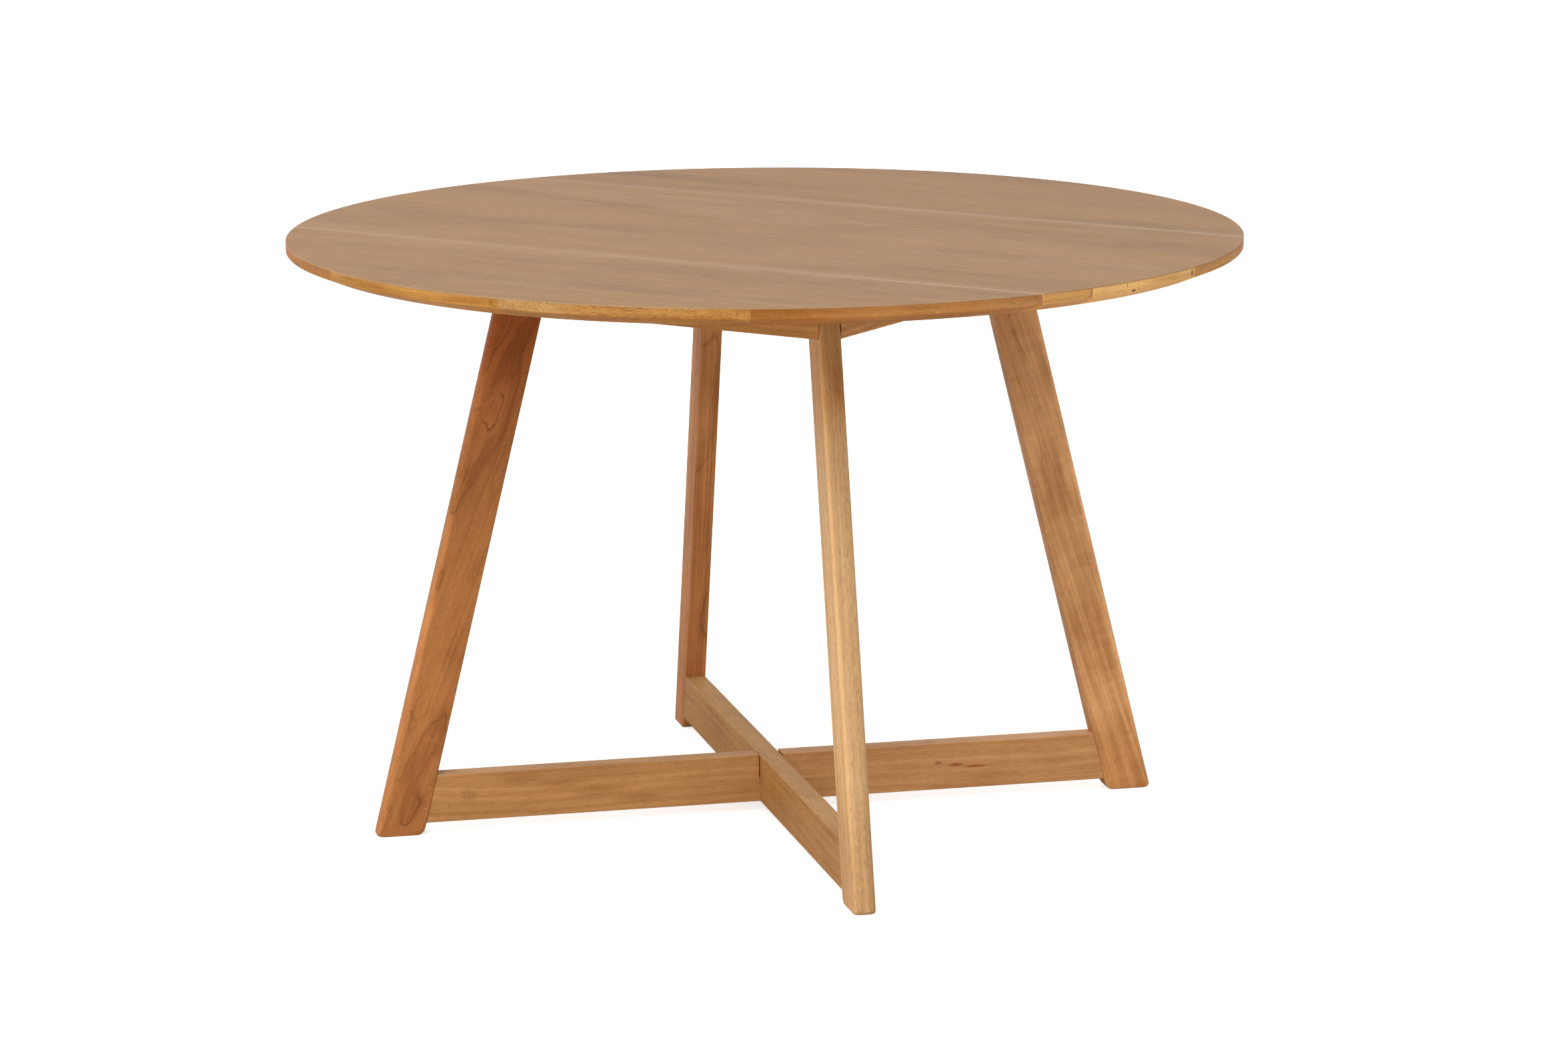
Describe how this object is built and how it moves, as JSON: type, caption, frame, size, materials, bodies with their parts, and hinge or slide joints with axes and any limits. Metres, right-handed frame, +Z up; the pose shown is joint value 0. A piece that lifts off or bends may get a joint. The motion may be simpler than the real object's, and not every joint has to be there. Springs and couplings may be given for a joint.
{
  "type": "drop-leaf table",
  "caption": "Round drop-leaf dining table: fixed centre section, hinged leaves with folding stays, square apron, splayed board legs and a halved cross stretcher.",
  "frame": {"origin": "on the floor under the middle of the round top", "axes": "+Z up, +X along the two seams, -Y towards the front leaf"},
  "size_m": [1.2, 1.2, 0.75],
  "materials": {
    "top_veneer": "satin lacquered oak-toned veneer",
    "edge_lipping": "satin lacquered solid wood",
    "leg_wood": "satin lacquered solid wood",
    "stretcher_wood": "satin lacquered solid wood",
    "rail_wood": "satin lacquered solid wood",
    "block_wood": "bare sawn wood",
    "steel": "plain steel",
    "zinc_plate": "zinc plated steel"
  },
  "bodies": {
    "frame": {"apron_front": "rail_wood", "apron_left": "rail_wood", "apron_rear": "rail_wood", "apron_right": "rail_wood", "centre_panel": "top_veneer", "corner_block_front_left": "block_wood", "corner_block_front_right": "block_wood", "corner_block_rear_left": "block_wood", "corner_block_rear_right": "block_wood", "hinge_front_left_frame_wing": "zinc_plate", "hinge_front_left_pin": "steel", "hinge_front_right_frame_wing": "zinc_plate", "hinge_front_right_pin": "steel", "hinge_rear_left_frame_wing": "zinc_plate", "hinge_rear_left_pin": "steel", "hinge_rear_right_frame_wing": "zinc_plate", "hinge_rear_right_pin": "steel", "left_lipping_1": "edge_lipping", "left_lipping_2": "edge_lipping", "leg_bolt_front_left": "steel", "leg_bolt_front_right": "steel", "leg_bolt_rear_left": "steel", "leg_bolt_rear_right": "steel", "leg_front_left": "leg_wood", "leg_front_right": "leg_wood", "leg_rear_left": "leg_wood", "leg_rear_right": "leg_wood", "right_lipping_1": "edge_lipping", "right_lipping_2": "edge_lipping", "right_lipping_3": "edge_lipping", "stay_front_left_bracket": "zinc_plate", "stay_front_right_bracket": "zinc_plate", "stay_rear_left_bracket": "zinc_plate", "stay_rear_right_bracket": "zinc_plate", "stretcher_lower": "stretcher_wood", "stretcher_upper": "stretcher_wood"},
    "front_leaf": {"front_leaf_panel": "top_veneer", "front_lipping_1": "edge_lipping", "front_lipping_2": "edge_lipping", "front_lipping_3": "edge_lipping", "front_lipping_4": "edge_lipping", "hinge_front_left_leaf_wing": "zinc_plate", "hinge_front_right_leaf_wing": "zinc_plate", "stay_front_left_wear_plate": "zinc_plate", "stay_front_right_wear_plate": "zinc_plate"},
    "rear_leaf": {"rear_leaf_panel": "top_veneer", "rear_lipping_1": "edge_lipping", "rear_lipping_2": "edge_lipping", "rear_lipping_3": "edge_lipping", "rear_lipping_4": "edge_lipping", "hinge_rear_left_leaf_wing": "zinc_plate", "hinge_rear_right_leaf_wing": "zinc_plate", "stay_rear_left_wear_plate": "zinc_plate", "stay_rear_right_wear_plate": "zinc_plate"},
    "front_left_stay": {"stay_front_left_arm": "zinc_plate"},
    "front_right_stay": {"stay_front_right_arm": "zinc_plate"},
    "rear_left_stay": {"stay_rear_left_arm": "zinc_plate"},
    "rear_right_stay": {"stay_rear_right_arm": "zinc_plate"}
  },
  "joints": [
    {"name": "front_leaf_hinge", "type": "hinge", "parent": "frame", "child": "front_leaf", "pos_m": [0, -0.26, 0.7222], "axis": [1, 0, 0], "range_deg": [0, 83.5]},
    {"name": "rear_leaf_hinge", "type": "hinge", "parent": "frame", "child": "rear_leaf", "pos_m": [0, 0.26, 0.7222], "axis": [-1, 0, 0], "range_deg": [0, 83.5]},
    {"name": "front_left_stay_pivot", "type": "hinge", "parent": "frame", "child": "front_left_stay", "pos_m": [-0.12, -0.26, 0.6922], "axis": [1, 0, 0], "range_deg": [0, 95.31]},
    {"name": "front_right_stay_pivot", "type": "hinge", "parent": "frame", "child": "front_right_stay", "pos_m": [0.12, -0.26, 0.6922], "axis": [1, 0, 0], "range_deg": [0, 95.31]},
    {"name": "rear_left_stay_pivot", "type": "hinge", "parent": "frame", "child": "rear_left_stay", "pos_m": [-0.12, 0.26, 0.6922], "axis": [-1, 0, 0], "range_deg": [0, 95.31]},
    {"name": "rear_right_stay_pivot", "type": "hinge", "parent": "frame", "child": "rear_right_stay", "pos_m": [0.12, 0.26, 0.6922], "axis": [-1, 0, 0], "range_deg": [0, 95.31]}
  ],
  "couplings": [
    {"joint": "front_left_stay_pivot", "follows": "front_leaf_hinge", "ratio": 1.1414},
    {"joint": "front_right_stay_pivot", "follows": "front_leaf_hinge", "ratio": 1.1414},
    {"joint": "rear_left_stay_pivot", "follows": "rear_leaf_hinge", "ratio": 1.1414},
    {"joint": "rear_right_stay_pivot", "follows": "rear_leaf_hinge", "ratio": 1.1414}
  ]
}
